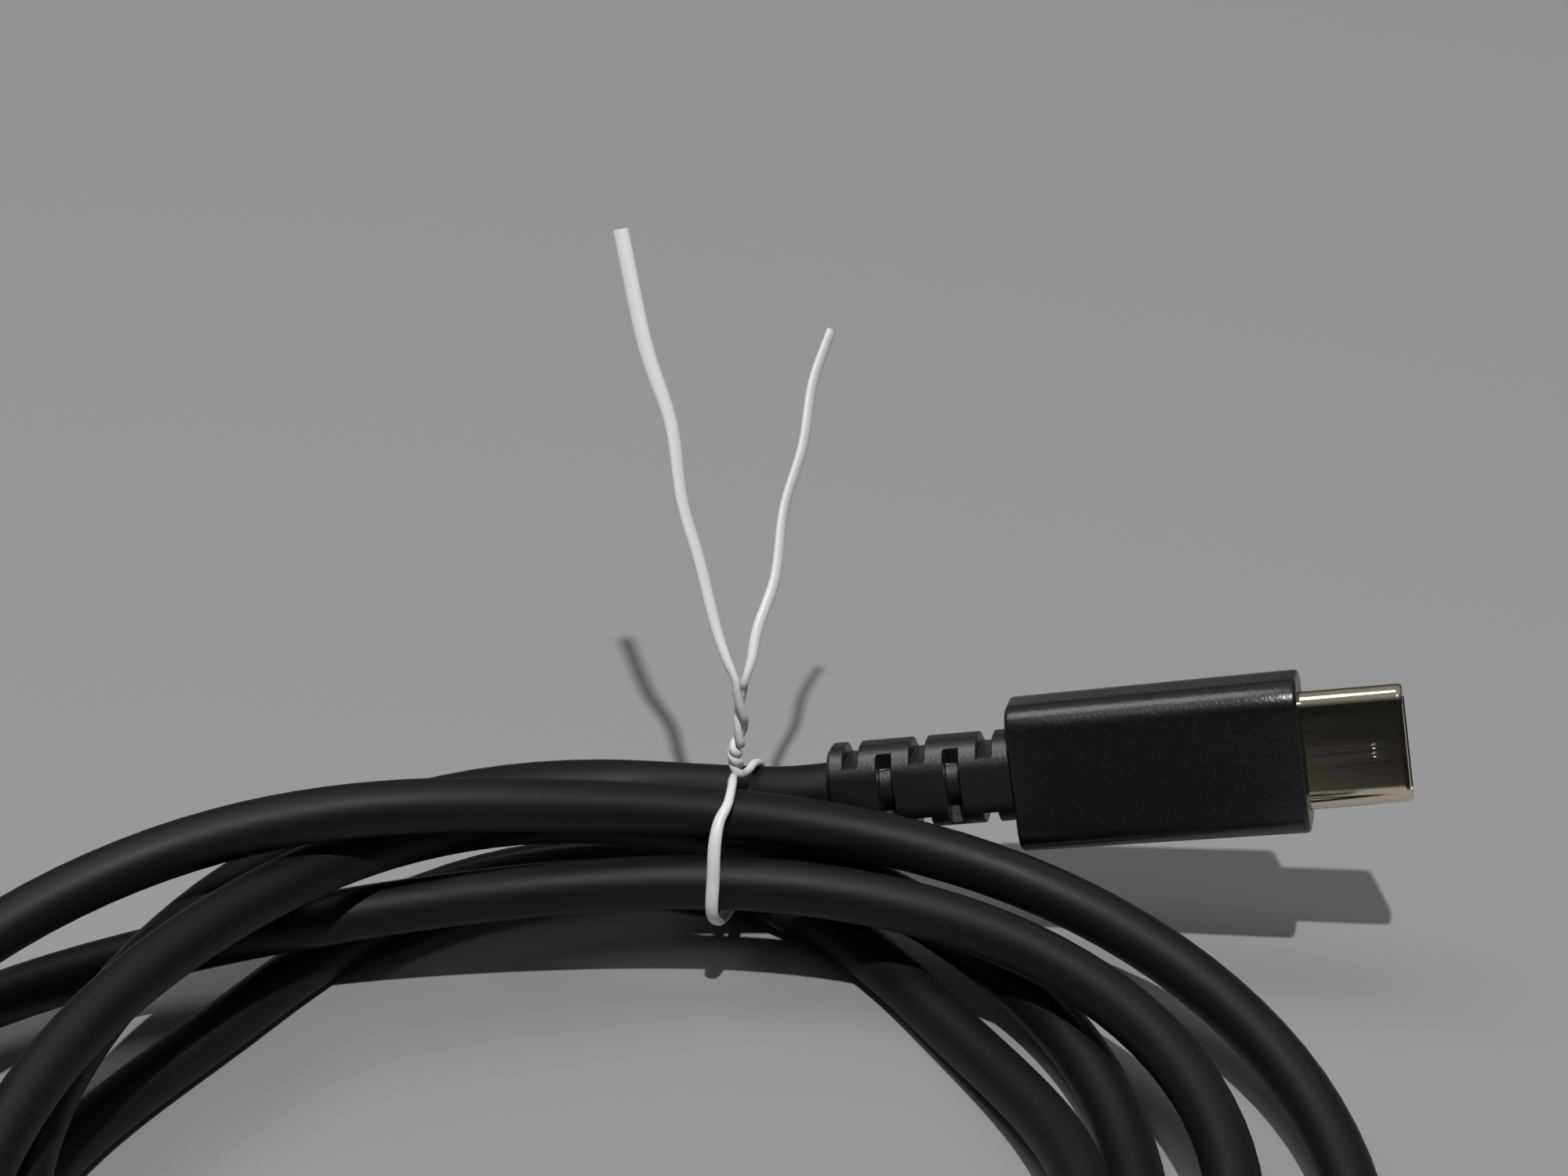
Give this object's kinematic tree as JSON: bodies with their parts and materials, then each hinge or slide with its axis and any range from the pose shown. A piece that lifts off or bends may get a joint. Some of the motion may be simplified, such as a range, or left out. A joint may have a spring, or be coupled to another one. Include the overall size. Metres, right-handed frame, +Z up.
{
  "type": "charging cable",
  "caption": "Thin round charging cable in a loose coil held by a twist tie, with a small oval reversible plug and a flat rectangular plug.",
  "frame": {"origin": "middle of the part's box, on the floor that the coil lies on", "axes": "+Z up, +X to the side that both plugs point to, +Y to the far side, where the tie holds the loops"},
  "size_m": [0.1158, 0.1044, 0.0453],
  "materials": {
    "cable_jacket": "satin",
    "moulded_body": "satin",
    "gold_plate": "pale champagne gold, polished",
    "nickel_plate": "bright",
    "steel": "bright",
    "brass": "plain",
    "tie_plastic": "smooth",
    "white_plastic": "plain",
    "black_insulator": "plain",
    "circuit_board": "solder mask",
    "wire_insulation": "smooth"
  },
  "bodies": {
    "root": {"cable_coil": "cable_jacket", "cable_lead_usb_c": "cable_jacket", "cable_lead_usb_a": "cable_jacket", "twist_tie_jacket": "tie_plastic", "twist_tie_core": "steel", "usb_c_shell": "gold_plate", "usb_c_insulator": "black_insulator", "usb_c_contacts_upper": "gold_plate", "usb_c_contacts_lower": "gold_plate", "usb_c_latch_spring": "steel", "usb_c_ground_springs": "steel", "usb_c_card": "circuit_board", "usb_c_resistor": "black_insulator", "usb_c_shield_can": "steel", "usb_c_inner_mould": "white_plastic", "usb_c_wires": "wire_insulation", "usb_c_crimp_ring": "brass", "usb_c_jacket_end": "cable_jacket", "usb_c_body": "moulded_body", "usb_c_strain_relief": "moulded_body", "usb_a_shell": "nickel_plate", "usb_a_tongue": "white_plastic", "usb_a_contacts": "gold_plate", "usb_a_shield_can": "steel", "usb_a_inner_mould": "white_plastic", "usb_a_wires": "wire_insulation", "usb_a_crimp_ring": "brass", "usb_a_jacket_end": "cable_jacket", "usb_a_body": "moulded_body", "usb_a_strain_relief": "moulded_body"}
  },
  "joints": []
}
